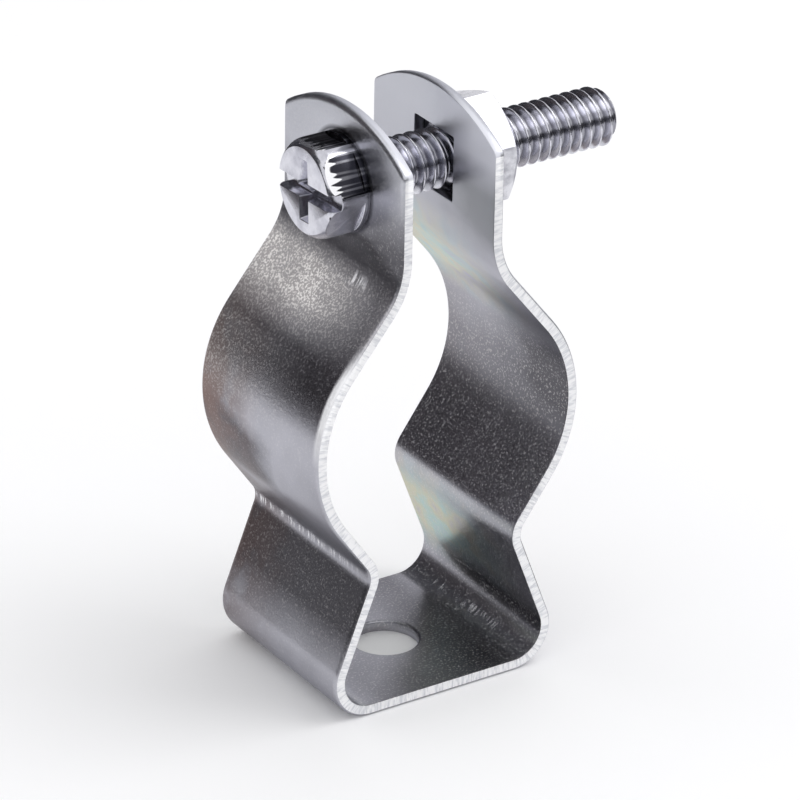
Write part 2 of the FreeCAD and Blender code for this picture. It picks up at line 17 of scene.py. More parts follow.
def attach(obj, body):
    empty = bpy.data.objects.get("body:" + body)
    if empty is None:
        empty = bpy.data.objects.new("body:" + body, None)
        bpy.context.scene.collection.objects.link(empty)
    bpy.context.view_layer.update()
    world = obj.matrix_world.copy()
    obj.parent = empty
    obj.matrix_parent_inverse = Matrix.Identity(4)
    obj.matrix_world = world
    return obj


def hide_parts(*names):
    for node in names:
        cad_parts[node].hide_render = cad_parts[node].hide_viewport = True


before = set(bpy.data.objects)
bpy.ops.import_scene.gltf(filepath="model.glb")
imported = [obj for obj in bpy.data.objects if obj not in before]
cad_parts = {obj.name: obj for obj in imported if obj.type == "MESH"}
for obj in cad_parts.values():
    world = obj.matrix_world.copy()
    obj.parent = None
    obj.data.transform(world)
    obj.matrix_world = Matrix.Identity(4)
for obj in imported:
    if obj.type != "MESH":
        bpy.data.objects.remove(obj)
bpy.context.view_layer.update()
MM = 0.001

# %% [markdown]
# ## Sizes
# Every length of the strap is measured on its outer face, as on the CAD drawing: the sharp
# corners that the straight runs would meet in, and the radius that rounds each one. The names
# are those of a press brake worker, so a reader can change one bend and see what follows.

# %% Sizes in millimetres
GAUGE = 1.2
HALF_WIDTH = 11.1
CORNERS = [(0.0, 0.0), (15.35, 0.0), (9.1, 16.1), (19.6, 30.8), (6.05, 47.6), (6.05, 63.3)]
OUTER_RADII = [4.45, 2.05, 14.8, 8.0]
CROWN_RADIUS = 19.1
EAR_CORNER = 1.0
SCREW_HEIGHT = 55.2
EAR_FACE = 6.05
SQUARE_HOLE = 7.1
BASE_HOLE = 7.1
PITCH = 1.27
THREAD_DEPTH = 0.75
THREAD_RADIUS = 3.175
SCREW_LENGTH = 31.75
NUT_FLATS = 11.11
NUT_LENGTH = 5.4
NUT_FACE = 5.275
NUT_TURN = math.radians(40.2)
SEAT_RADIUS = 5.45
# Place of each square hole along the flat blank, from the middle of the base
EAR_EYE = 70.91
# Distance of the trimmed sides of the head from its axis, less a hair, and their first angle
HEAD_FLAT = 4.74
HEAD_TURN = math.radians(27.0)

# %% [markdown]
# ## A short way to write node trees
# Node maths is easier to read as a formula than as a list of links. One small class holds a
# socket and turns `+ - * /` into Math nodes, and one method adds any other node. The same two
# serve the geometry trees and the materials.


# %% Node tree helpers
class Field:
    """A socket of a node tree that can be used in a Python formula."""

    def __init__(self, tree, socket):
        self.tree = tree
        self.socket = socket

    def math(self, operation, *others):
        node = self.tree.nodes.new("ShaderNodeMath")
        node.operation = operation
        for place, value in zip(node.inputs, (self,) + others):
            plug(self.tree, place, value)
        return Field(self.tree, node.outputs[0])

    def __add__(self, other):
        return self.math("ADD", other)

    def __sub__(self, other):
        return self.math("SUBTRACT", other)

    def __mul__(self, other):
        return self.math("MULTIPLY", other)

    def __truediv__(self, other):
        return self.math("DIVIDE", other)

    def __radd__(self, other):
        return self.math("ADD", other)

    def __rmul__(self, other):
        return self.math("MULTIPLY", other)

    def __rsub__(self, other):
        return (self * -1.0).math("ADD", other)

    def clamp(self, low=0.0, high=1.0):
        return self.math("MAXIMUM", low).math("MINIMUM", high)

    def above(self, limit):
        return self.math("GREATER_THAN", limit)

    def fade(self, start, stop):
        """0 before start, 1 past stop, and an even slope between them."""
        return ((self - start) * (1.0 / (stop - start))).clamp()

    def bump(self, centre, width):
        """1 at the centre, falling to 0 at half a width to each side."""
        return (1.0 - (self - centre).math("ABSOLUTE") * (2.0 / width)).clamp()


def plug(tree, place, value):
    """Feeds a socket with another socket or with a plain value."""
    if isinstance(value, Field):
        tree.links.new(value.socket, place)
    else:
        place.default_value = value


def add(tree, kind, settings=None, sockets=None, output=0):
    """One node: its settings first, then what goes into its sockets."""
    node = tree.nodes.new(kind)
    for name, value in (settings or {}).items():
        if name == "stops":
            ramp = node.color_ramp.elements
            while len(ramp) < len(value):
                ramp.new(0.5)
            for element, (place, colour) in zip(ramp, value):
                element.position = place
                element.color = (*colour, 1.0)
        else:
            setattr(node, name, value)
    for name, value in (sockets or {}).items():
        plug(tree, node.inputs[name], value)
    return Field(tree, node.outputs[output])


# %% [markdown]
# A shape that follows a rule is a geometry tree with named numbers for its sizes. It runs as a
# modifier on a plain mesh, and its result is taken as a mesh of its own, so nothing live is
# left behind. Every finished piece then gets smooth shading with sharp edges kept and the body
# it moves with, and the CAD node that it stands in for is hidden.


# %% Geometry Nodes helpers
def new_tree(name, numbers):
    """A geometry tree that takes a mesh and named numbers, and gives a mesh."""
    tree = bpy.data.node_groups.new(name, "GeometryNodeTree")
    tree.interface.new_socket("Geometry", in_out="INPUT", socket_type="NodeSocketGeometry")
    for label, value in numbers.items():
        entry = tree.interface.new_socket(label, in_out="INPUT", socket_type="NodeSocketFloat")
        entry.default_value = value
    tree.interface.new_socket("Geometry", in_out="OUTPUT", socket_type="NodeSocketGeometry")
    start = tree.nodes.new("NodeGroupInput")
    inputs = {socket.name: Field(tree, socket) for socket in start.outputs if socket.name}
    return tree, inputs


def close_tree(tree, geometry, material):
    """Ends a tree in plain geometry with its material."""
    real = add(tree, "GeometryNodeRealizeInstances", sockets={"Geometry": geometry})
    named = {"Geometry": real, "Material": material}
    done = add(tree, "GeometryNodeSetMaterial", sockets=named)
    finish = tree.nodes.new("NodeGroupOutput")
    tree.links.new(done.socket, finish.inputs["Geometry"])


def grow(name, mesh, tree, numbers):
    """Runs a tree on a mesh and returns the result as a plain object."""
    carrier = bpy.data.objects.new(name + "_carrier", mesh)
    bpy.context.scene.collection.objects.link(carrier)
    modifier = carrier.modifiers.new("Shape", "NODES")
    modifier.node_group = tree
    for item in tree.interface.items_tree:
        if item.in_out == "INPUT" and item.name in numbers:
            modifier[item.identifier] = float(numbers[item.name])
    graph = bpy.context.evaluated_depsgraph_get()
    shaped = bpy.data.meshes.new_from_object(carrier.evaluated_get(graph))
    carrier.modifiers.clear()
    bpy.data.objects.remove(carrier)
    shaped.name = name
    return shaped


def finish_piece(name, mesh, body, node, sharp_angle=35.0):
    """Makes an object of a mesh, smooths it, gives it its body and hides the CAD node it replaces.
    """
    mesh.polygons.foreach_set("use_smooth", [True] * len(mesh.polygons))
    mesh.set_sharp_from_angle(angle=math.radians(sharp_angle))
    piece = bpy.data.objects.new(name, mesh)
    bpy.context.scene.collection.objects.link(piece)
    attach(piece, body)
    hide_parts(node)
    loose = sum(1 for edge in edge_uses(mesh).values() if edge != 2)
    print(name, "faces:", len(mesh.polygons), "open edges:", loose)
    return piece


def edge_uses(mesh):
    """How many faces share each edge."""
    uses = {}
    for polygon in mesh.polygons:
        for key in polygon.edge_keys:
            uses[key] = uses.get(key, 0) + 1
    return uses


# %% [markdown]
# ## The finishes
# All three pieces are steel with a thin bright coat of zinc. On the strip the coat lies over
# rolled sheet: fine grain, faint lilac, with a brown and green cast where the coat is thin or
# has been passivated unevenly, and scratchy light streaks where the press stretched it. The
# sheared edges are paler. The screw and nut are smoother and brighter.


# %% Material helpers
def new_material(name):
    """An empty material with its surface shader, and the tree to build on."""
    material = bpy.data.materials.new(name)
    material.use_nodes = True
    tree = material.node_tree
    tree.nodes.clear()
    surface = tree.nodes.new("ShaderNodeBsdfPrincipled")
    output = tree.nodes.new("ShaderNodeOutputMaterial")
    tree.links.new(surface.outputs[0], output.inputs["Surface"])
    return material, tree, surface


def grain(tree, where, scale, detail=2.0, stretch=(1.0, 1.0, 1.0)):
    """Noise from 0 to 1, with its features 1/scale millimetres apart."""
    settings = {"operation": "MULTIPLY"}
    scaled = add(tree, "ShaderNodeVectorMath", settings, {0: where, 1: [v / MM for v in stretch]})
    sockets = {"Vector": scaled, "Scale": scale, "Detail": detail, "Roughness": 0.6}
    return add(tree, "ShaderNodeTexNoise", None, sockets)


def blend(tree, factor, first, second):
    """A colour between two others."""
    node = tree.nodes.new("ShaderNodeMix")
    node.data_type = "RGBA"
    plug(tree, node.inputs[0], factor)
    plug(tree, node.inputs[6], first if isinstance(first, Field) else (*first, 1.0))
    plug(tree, node.inputs[7], second if isinstance(second, Field) else (*second, 1.0))
    return Field(tree, node.outputs[2])


def split(tree, vector):
    """The three parts of a vector."""
    node = tree.nodes.new("ShaderNodeSeparateXYZ")
    plug(tree, node.inputs[0], vector)
    return [Field(tree, socket) for socket in node.outputs]


# %% [markdown]
# A press tool scuffs the sheet where it bends it, and leaves a row of short bright ticks. They
# could be modelled, but each is thinner than a hair, so the coat is painted brighter there. A
# noise that is stretched along the strip gives straight lines, and a narrow band cuts them short.


# %% Marks that the press leaves
def tool_marks(tree, lay, far, across, places):
    """Short bright ticks in narrow bands across the strip, where the press bent it."""
    ticks = grain(tree, lay, 1.0, 0.0, (0.12, 3.6, 0.2))
    gaps = grain(tree, lay, 0.35, 1.0)
    marks = 0.0
    for place, width, centre, reach in places:
        marks = far.bump(place, width) * across.bump(centre, reach) * 2.0 + marks
    return marks.clamp() * ticks.fade(0.54, 0.62) * gaps.fade(0.36, 0.48)


# Place along the strip and width of each band, then its middle and reach across the strip
OUTER_BANDS = [(27.2, 1.5, 4.0, 30.0), (61.6, 2.0, -3.0, 9.0)]
INNER_BANDS = [(11.2, 1.6, 3.0, 26.0)]

# %% [markdown]
# The coat isn't even. On the outer face it is frosted above the saddles, a carpet of bright
# specks that scatter light like chalk, so it is less metallic there. Under the saddles, on the
# legs and round the necks, and in places on the inner face and the base, the colour is painted
# near black: painted dark reflections of a dark room and of the hanger's own legs. Toward the
# back edge the coat has a rusty cast. The inner face is smoother, with the pale green and straw
# of a thin passivated film.
#
# Each zone is a product of fades. `far` is the distance in mm from the middle of the base, along
# the strip, and `across` runs from -11.1 at the front edge to 11.1 at the back edge. The bends
# lie at 9 to 16 (base), 26 to 29 (pinch), 34 to 53 (saddle) and 60 to 66 (neck).


# %% Where the coat of the strip changes, and where dark reflections are painted
def frosted(far, across, outer, patch):
    """Chalky bright coat above the saddles, strongest in the middle and toward the back."""
    carpet = far.fade(52.5, 57.0) * (1.0 - far.fade(60.5, 63.5))
    carpet = carpet * (0.2 + across.fade(-9.0, 0.0) * 0.8) * (0.8 + patch.fade(0.3, 0.6) * 0.2)
    trace = far.fade(43.0, 47.0) * (1.0 - far.fade(51.0, 55.0)) * across.fade(-6.0, 9.0) * 0.3
    return (carpet + trace) * outer


def painted_dark_reflections(far, across, along, inner, outer):
    """Painted dark reflections under the saddles, on the legs, round the necks and on half the
    base.
    """
    leg = far.fade(16.0, 20.5) * (1.0 - far.fade(25.6, 26.6)) * 0.92
    waist = far.bump(29.5, 9.0) * 0.55
    under_saddle = far.fade(33.5, 36.0) * (1.0 - far.fade(40.5, 43.0))
    under_saddle = under_saddle * across.fade(-2.0, 3.5) * 1.1
    back_edge = far.bump(44.5, 14.0) * across.fade(2.0, 8.5)
    over_saddle = far.bump(50.0, 9.0) * 0.55
    neck = far.bump(66.0, 12.0) * 0.6
    inner_leg = far.bump(15.3, 7.5) * across.fade(9.0, 1.0) * 0.8
    inner_saddle = far.fade(36.0, 40.0) * (1.0 - far.fade(43.0, 49.0)) * 0.55
    inner_front = far.bump(47.0, 18.0) * across.fade(3.0, -8.0) * 0.95
    base = along.fade(-1.0, 5.0) * 0.45 + across.fade(3.0, -9.0) * 0.35
    base = base * (1.0 - far.fade(7.0, 10.0))
    ear_front = far.fade(62.0, 66.0) * (1.0 - far.fade(70.0, 74.0)) * across.fade(3.0, -6.0) * 0.4
    outside = leg + waist + under_saddle + back_edge + over_saddle + neck
    inside = inner_leg + inner_saddle + inner_front + base
    return (outer * outside + inner * inside + ear_front).clamp(0.0, 0.92)


# %% [markdown]
# The finish of the strip reads the place that each point had on the flat blank, an attribute
# named lay, so that its pattern follows the metal round the bends. Each blend lays one thing on
# the last: plain zinc that gets lighter toward the ears, film colours, painted dark reflections,
# rust, frost, painted glints, a painted lit patch at the front of each ear's inner face, a
# painted shadow ring round the screw seat, tool marks with a painted highlight on the rolled
# front edge of one saddle, and the sheared edge.


# %% Zinc plate on the strip
def plated_strip():
    """Rolled sheet with a thin uneven zinc coat, pale at the cut edges."""
    material, tree, surface = new_material("plated_strip")
    spot = add(tree, "ShaderNodeTexCoord", output=3)
    lay = add(tree, "ShaderNodeAttribute", {"attribute_name": "lay"}, output=1)
    along, across, depth = [part * (1.0 / MM) for part in split(tree, lay)]
    far = along.math("ABSOLUTE")
    inner = depth.fade(0.5, 0.7)
    outer = 1.0 - inner
    edge = (across.math("ABSOLUTE") - (HALF_WIDTH - 0.02)).above(0.0)

    fine = grain(tree, spot, 2.6, 3.0)
    speckle = grain(tree, spot, 4.2, 1.0)
    cloud = grain(tree, spot, 0.12, 2.0)
    patch = grain(tree, spot, 0.22, 3.0)
    drawn = grain(tree, lay, 1.0, 3.0, (0.12, 2.6, 1.0))
    marks = tool_marks(tree, lay, far, across, OUTER_BANDS) * outer
    marks = marks + tool_marks(tree, lay, far, across, INNER_BANDS) * inner
    frost = frosted(far, across, outer, patch)
    # Painted dark reflections: the colour goes near black where the metal would mirror a dark room
    # and the hanger's own legs
    painted_dark = painted_dark_reflections(far, across + (patch - 0.5) * 6.0, along, inner, outer) * (1.0 - frost)
    # Painted highlight: a white streak along the rolled front edge of the left saddle
    painted_roll_highlight = outer * across.fade(-10.1, -10.6) * far.bump(50.0, 14.0) * along.fade(1.0, -1.0)

    colour = blend(tree, cloud.fade(0.40, 0.62), (0.455, 0.455, 0.50), (0.52, 0.52, 0.57))
    colour = blend(tree, far.fade(62.0, 76.0), colour, (0.62, 0.63, 0.68))
    film = add(tree, "ShaderNodeValToRGB", {"stops": IRIS}, {"Fac": (patch * 1.8 - 0.4).clamp()})
    sheen = far.bump(57.0, 18.0) + far.bump(21.0, 14.0)
    sheen = (sheen * 1.6).clamp() * inner * across.fade(-9.0, 4.0)
    colour = blend(tree, sheen * 0.9, colour, film)
    # The near-black colour of the painted dark reflections
    colour = blend(tree, painted_dark, colour, (0.10, 0.097, 0.107))
    rusty = across.fade(0.0, 11.0) * (1.0 - far.fade(50.0, 62.0)) * patch.fade(0.26, 0.50)
    rust = blend(tree, far.fade(30.0, 36.0), (0.13, 0.085, 0.075), (0.29, 0.185, 0.15))
    colour = blend(tree, rusty * (0.08 + outer * 0.62), colour, rust)
    colour = blend(tree, frost * 0.9, colour, (0.52, 0.49, 0.485))
    colour = blend(tree, frost * speckle.fade(0.48, 0.60), colour, (1.0, 0.97, 0.95))
    # Painted glints: pale, less metallic specks that stand in for the sparkle of the grain
    painted_glints = speckle.fade(0.55, 0.72) * (outer * 0.2 + inner * (1.0 - far.fade(46.0, 54.0)) * 0.5)
    colour = blend(tree, painted_glints, colour, (0.80, 0.77, 0.77))
    lit_front = inner * far.fade(70.5, 74.0) * across.fade(-1.0, -7.0)
    colour = blend(tree, lit_front * 0.6, colour, (0.84, 0.85, 0.92))
    # Painted shadow: a dark ring on the outer face of each ear round the seat of the head and the
    # nut
    from_eye = ((far - EAR_EYE).math("POWER", 2.0) + across * across).math("SQRT")
    colour = blend(tree, from_eye.bump(SEAT_RADIUS, 0.9) * outer * 0.85, colour, (0.07, 0.07, 0.08))
    # Near white for the tool marks, which are wear, and for the painted highlight of the rolled
    # edge
    pale = (marks * 0.75 + painted_roll_highlight * 1.6).clamp()
    colour = blend(tree, pale, colour, (0.96, 0.96, 0.98))
    ribs = grain(tree, lay, 1.0, 2.0, (3.2, 0.1, 0.6))
    cut = blend(tree, ribs.fade(0.36, 0.56), (0.74, 0.75, 0.78), (0.97, 0.97, 0.98))
    colour = blend(tree, edge, colour, cut)
    plug(tree, surface.inputs["Base Color"], colour)
    dull = frost * 0.8 + edge * 0.3 + pale * 0.75 + lit_front * 0.8 + painted_glints
    plug(tree, surface.inputs["Metallic"], (1.0 - dull).clamp())
    surface.inputs["Specular Tint"].default_value = (0.72, 0.72, 0.74, 1.0)
    rough = 0.24 + fine * 0.08 + drawn * 0.05 + outer * 0.02 + frost * 0.22 + edge * 0.24
    plug(tree, surface.inputs["Roughness"], (rough - marks * 0.1).clamp(0.1, 0.7))
    height = fine * (0.45 + outer * 0.3) + drawn * 0.15
    height = height + speckle * (0.2 + outer * 0.35 + frost * 1.8) + ribs * edge * 1.2
    sockets = {"Height": height, "Strength": 0.5, "Distance": 0.00004}
    plug(tree, surface.inputs["Normal"], add(tree, "ShaderNodeBump", None, sockets))
    return material


# Thin film colours of the passivated coat: lilac, pale green, straw, lilac
IRIS = [(0.0, (0.60, 0.60, 0.68)), (0.35, (0.57, 0.77, 0.72)), (0.62, (0.77, 0.76, 0.56))]
IRIS += [(1.0, (0.60, 0.60, 0.69))]
STRIP = plated_strip()


# %% [markdown]
# The screw and nut are cold formed, so their coat is smooth and reflects like chrome. The
# thread is painted darker the deeper its groove goes, a painted shade, and the turned cone of the
# nut is painted darker as a painted dark reflection. The trimming punch shaved the sides of the
# head and left fine lighter lines along its stroke; the near-black ground between them is a
# painted dark reflection, and a white band with a toothed edge toward the face of the head is a
# painted highlight.


# %% Zinc plate on the screw and nut
def fastener_zones(tree, spot):
    """The shaved sides of the head, their lines, the thread, the cone of the nut, and x in mm."""
    x, y, z = split(tree, spot)
    z = z - SCREW_HEIGHT * MM
    radius = (y * y + z * z).math("SQRT")
    angle = z.math("ARCTAN2", y) - HEAD_TURN
    angle = angle.math("WRAP", math.pi / 6, -math.pi / 6)
    flat = (radius * angle.math("COSINE") - HEAD_FLAT * MM).above(0.0)
    flat = flat * (-EAR_FACE * MM - x).above(0.0) * z.above(0.0)
    parts = {"X": x * 0.03, "Y": radius * angle.math("SINE"), "Z": 0.0}
    lines = grain(tree, add(tree, "ShaderNodeCombineXYZ", None, parts), 2.6, 0.0)
    # Depth into the thread groove, 0 to 1, used to paint shade in the thread
    thread = (THREAD_RADIUS * MM - radius) * (x + EAR_FACE * MM).above(0.0)
    thread = (thread * (1.0 / (THREAD_DEPTH * MM))).clamp()
    x = x * (1.0 / MM)
    half = NUT_LENGTH / 2
    # The turned cone at each end of the nut, used to paint a dark reflection on it
    cone = (x - EAR_FACE - half).math("ABSOLUTE").fade(half - 0.42, half - 0.3)
    return flat, lines, thread, cone * (radius - 4.9 * MM).above(0.0), x


def plated_fastener(name, base, dark, rough_low):
    """Bright zinc over cold formed steel."""
    material, tree, surface = new_material(name)
    spot = add(tree, "ShaderNodeTexCoord", output=3)
    fine = grain(tree, spot, 5.0, 3.0)
    cloud = grain(tree, spot, 0.45, 3.0)
    flat, lines, groove, cone, x = fastener_zones(tree, spot)
    colour = blend(tree, cloud.fade(0.4, 0.65), base, dark)
    # The shaved flats: lighter fine lines on a near-black ground that is a painted dark reflection,
    # then a painted white highlight with a toothed edge toward the face of the head
    shaved = blend(tree, lines.fade(0.48, 0.58), (0.035, 0.035, 0.045), (0.17, 0.17, 0.19))
    entry = (lines * 3.0 - x - 10.9).fade(-0.1, 0.1)
    shaved = blend(tree, entry, shaved, (0.95, 0.95, 0.98))
    colour = blend(tree, flat, colour, shaved)
    # Painted shade, darker the deeper the thread groove
    colour = blend(tree, groove.fade(0.25, 0.9) * 0.75, colour, (0.22, 0.22, 0.25))
    # Painted dark reflection on the turned cone of the nut
    colour = blend(tree, cone * x.above(0.0) * 0.8, colour, (0.26, 0.26, 0.30))
    plug(tree, surface.inputs["Base Color"], colour)
    surface.inputs["Metallic"].default_value = 1.0
    plug(tree, surface.inputs["Roughness"], rough_low + fine * 0.1 + cloud * 0.08)
    height = fine + flat * lines * 2.0
    sockets = {"Height": height, "Strength": 0.2, "Distance": 0.00002}
    plug(tree, surface.inputs["Normal"], add(tree, "ShaderNodeBump", None, sockets))
    return material


SCREW = plated_fastener("plated_screw", (0.70, 0.70, 0.76), (0.50, 0.50, 0.56), 0.10)
NUT = plated_fastener("plated_nut", (0.72, 0.72, 0.76), (0.38, 0.38, 0.42), 0.13)
print("Materials:", [m.name for m in (STRIP, SCREW, NUT)])

# %% [markdown]
# ## The flat blank
# A press shop first shears and punches the strip flat, and the shears leave their mark: on the
# face they enter by, the edge is drawn over in a soft roll, and on the other face it is crisp.
# The blank is made the same way here, flat, as loops that follow each cut edge and step inwards
# over the roll, with one mesh filled between the innermost loops. The bend lines are laid in as
# edges, so the blank can fold without creasing. The flat lengths come from the sharp corners.


# %% Where each bend starts along the strip
def bend_table():
    """For each bend: start along the middle of the sheet, middle radius and signed angle."""
    points = [Vector(corner) for corner in CORNERS]
    table = []
    travelled = 0.0
    behind = 0.0
    for before, corner, after, radius in zip(points, points[1:], points[2:], OUTER_RADII):
        arriving = corner - before
        leaving = after - corner
        turn = arriving.angle_signed(leaving) * -1.0
        setback = radius * math.tan(abs(turn) / 2)
        middle = radius - math.copysign(GAUGE / 2, turn)
        travelled += arriving.length - behind - setback
        table.append((travelled, middle, turn))
        travelled += middle * abs(turn)
        behind = setback
    return table, travelled + (points[-1] - points[-2]).length - behind


BENDS, HALF_LENGTH = bend_table()
print("Half length of the blank: %.2f mm" % HALF_LENGTH)
for start, radius, angle in BENDS:
    print("  bend at %.2f, radius %.2f, %.1f degrees" % (start, radius, math.degrees(angle)))

# %% Loops along the cut edges
BEND_STEPS = [22, 16, 30, 18]
TOP = CORNERS[-1][1]
CROWN_CENTRE = HALF_LENGTH - CROWN_RADIUS
EYE = HALF_LENGTH - (TOP - SCREW_HEIGHT)


def side_stations():
    """Places along one side of the blank where its mesh has points."""
    stations = [0.0, 6.0]
    for (start, radius, angle), steps in zip(BENDS, BEND_STEPS):
        length = radius * abs(angle)
        stations += [start + length * step / steps for step in range(steps + 1)]
    stations += [EYE - 3.0, EYE + 1.0]
    return stations


STATIONS = side_stations()


def quarter_outline(inset):
    """The edge of the blank from its middle line to the top of one ear, in plan."""
    points = [(along, HALF_WIDTH - inset) for along in STATIONS]
    reach = CROWN_RADIUS - EAR_CORNER
    side = HALF_WIDTH - EAR_CORNER
    foot = CROWN_CENTRE + math.sqrt(reach ** 2 - side ** 2)
    sweep = math.atan2(foot - CROWN_CENTRE, side)
    for step in range(7):
        angle = sweep * step / 6
        radius = EAR_CORNER - inset
        points.append((foot + radius * math.sin(angle), side + radius * math.cos(angle)))
    for step in range(1, 17):
        angle = sweep + (math.pi / 2 - sweep) * step / 16
        radius = CROWN_RADIUS - inset
        points.append((CROWN_CENTRE + radius * math.sin(angle), radius * math.cos(angle)))
    return points


def outline(inset):
    """The whole edge of the blank, counter-clockwise."""
    quarter = quarter_outline(inset)
    back = [(-x, y) for x, y in reversed(quarter[1:])] + quarter
    front = [(x, -y) for x, y in reversed(back[1:-1])]
    return (back + front)[::-1]


def round_hole(inset):
    """The edge of the base hole, stepping away from it."""
    radius = BASE_HOLE / 2 + inset
    angles = [2 * math.pi * step / 64 for step in range(64)]
    return [(radius * math.cos(angle), radius * math.sin(angle)) for angle in angles]


def square_hole(centre):
    """The edge of the square hole in an ear, with the small corners of its punch."""

    def loop(inset):
        half = SQUARE_HOLE / 2 - 0.2
        points = []
        for quarter in range(4):
            turn = Matrix.Rotation(quarter * math.pi / 2, 2)
            for step in range(5):
                angle = math.pi / 2 * step / 4
                radius = 0.2 + inset
                spot = Vector((half + radius * math.cos(angle), half + radius * math.sin(angle)))
                points.append(tuple(turn @ spot + Vector((centre, 0.0))))
        return points

    return loop


# %% Build the flat blank
def roll(inset, width, drop):
    """How far a rolled edge falls away, at a distance from the cut."""
    inside = max(0.0, 1.0 - inset / width)
    return drop * (1.0 - math.sqrt(1.0 - inside * inside))


# Each cut edge: its loop, the roll on the outer face and on the inner face (width, drop)
CUTS = [(outline, (0.6, 0.3), (0.08, 0.06)), (round_hole, (0.08, 0.06), (0.35, 0.25))]
CUTS += [(square_hole(side * EYE), (0.2, 0.14), (0.08, 0.06)) for side in (-1, 1)]


def insets_of(outer, inner):
    """Steps away from a cut that follow the wider of its two rolls."""
    wide = max(outer[0], inner[0])
    return [wide * (1 - math.cos(math.pi / 2 * step / 6)) for step in range(7)]


def flat_blank():
    """The sheared and punched strip, flat, with its outer face at depth 0."""
    shape = bmesh.new()
    lay = shape.verts.layers.float_vector.new("lay")

    def vertex(spot, depth):
        made = shape.verts.new((spot[0] * MM, spot[1] * MM, (depth - GAUGE / 2) * MM))
        made[lay] = (spot[0] * MM, spot[1] * MM, depth * MM)
        return made

    def ribbon(first, second, flip):
        count = len(first)
        for place in range(count):
            following = (place + 1) % count
            corners = [first[place], first[following], second[following], second[place]]
            shape.faces.new(corners[::-1] if flip else corners)

    inner_rims = []
    outer_rims = []
    plans = []
    for number, (loop, outer, inner) in enumerate(CUTS):
        hole = number > 0
        insets = insets_of(outer, inner)
        outer_rings = []
        for inset in insets:
            outer_rings.append([vertex(spot, roll(inset, *outer)) for spot in loop(inset)])
        inner_rings = []
        for inset in insets:
            inner_rings.append([vertex(spot, GAUGE - roll(inset, *inner)) for spot in loop(inset)])
        for first, second in zip(outer_rings, outer_rings[1:]):
            ribbon(first, second, not hole)
        for first, second in zip(inner_rings, inner_rings[1:]):
            ribbon(first, second, hole)
        ribbon(outer_rings[0], inner_rings[0], hole)
        outer_rims.append(outer_rings[-1])
        inner_rims.append(inner_rings[-1])
        plans.append(loop(insets[-1]))
    fill_face(shape, plans, outer_rims, True)
    fill_face(shape, plans, inner_rims, False)
    bmesh.ops.recalc_face_normals(shape, faces=shape.faces)
    mesh = bpy.data.meshes.new("flat_blank")
    shape.to_mesh(mesh)
    shape.free()
    return mesh


def fill_face(shape, plans, rims, flip):
    """Fills one face of the blank between the innermost loops, with the bend lines as edges."""
    spots = [Vector(spot) for plan in plans for spot in plan]
    loops = [number for number, plan in enumerate(plans) for _ in plan]
    owners = [vertex for rim in rims for vertex in rim]
    edges = []
    first = 0
    for plan in plans:
        count = len(plan)
        edges += [(first + place, first + (place + 1) % count) for place in range(count)]
        first += count
    outer = plans[0]
    places = {(round(x, 4), round(y, 4)): number for number, (x, y) in enumerate(outer)}
    for number, (x, y) in enumerate(outer):
        opposite = places.get((round(x, 4), round(-y, 4)))
        folded = BENDS[0][0] - 0.01 < abs(x) < HALF_LENGTH - 16.0
        if y > 0 and folded and opposite is not None:
            edges.append((number, opposite))
    result = delaunay_2d_cdt(spots, edges, [], 0, 1e-5)
    for triangle in result[2]:
        points = [result[3][corner][0] for corner in triangle]
        belongs = {loops[point] for point in points}
        if len(belongs) == 1 and 0 not in belongs:
            continue
        corners = [owners[point] for point in points]
        shape.faces.new(corners[::-1] if flip else corners)


BLANK = flat_blank()
print("Blank faces:", len(BLANK.polygons))

# %% [markdown]
# ## Folding the blank
# A press brake folds the strip one bend at a time, and Geometry Nodes can do the same. One small
# tree is one fold: points before the bend stay, points in it wrap round its radius, and what
# lies beyond swings round as a stiff piece. Each point keeps the place that it had on the flat
# blank, so the folds can be made from the ear inwards. Both halves fold alike, so the tree works
# on the distance from the middle and mirrors the result.


# %% One fold as a node group
def fold_tree():
    """Folds everything past a bend line. Takes and gives x and z, with the place on the blank."""
    tree = bpy.data.node_groups.new("fold", "GeometryNodeTree")
    for label in ("Place", "X", "Z", "Start", "Radius", "Angle"):
        tree.interface.new_socket(label, in_out="INPUT", socket_type="NodeSocketFloat")
    for label in ("X", "Z"):
        tree.interface.new_socket(label, in_out="OUTPUT", socket_type="NodeSocketFloat")
    start = tree.nodes.new("NodeGroupInput")
    place, x, z, begin, radius, angle = [Field(tree, socket) for socket in start.outputs[:6]]
    size = angle.math("ABSOLUTE")
    sign = angle.math("SIGN")
    length = radius * size
    turned = ((place - begin) / length).clamp() * angle
    past = (place - begin - length).above(0.0)
    before = (place - begin).above(0.0) * -1.0 + 1.0
    beyond = (x - begin - length) * past
    lever = z - sign * radius
    sine = turned.math("SINE")
    cosine = turned.math("COSINE")
    new_x = begin + beyond * cosine - lever * sine
    new_z = sign * radius + beyond * sine + lever * cosine
    finish = tree.nodes.new("NodeGroupOutput")
    for name, new, old in (("X", new_x, x), ("Z", new_z, z)):
        tree.links.new((new * (1.0 - before) + old * before).socket, finish.inputs[name])
    return tree


FOLD = fold_tree()


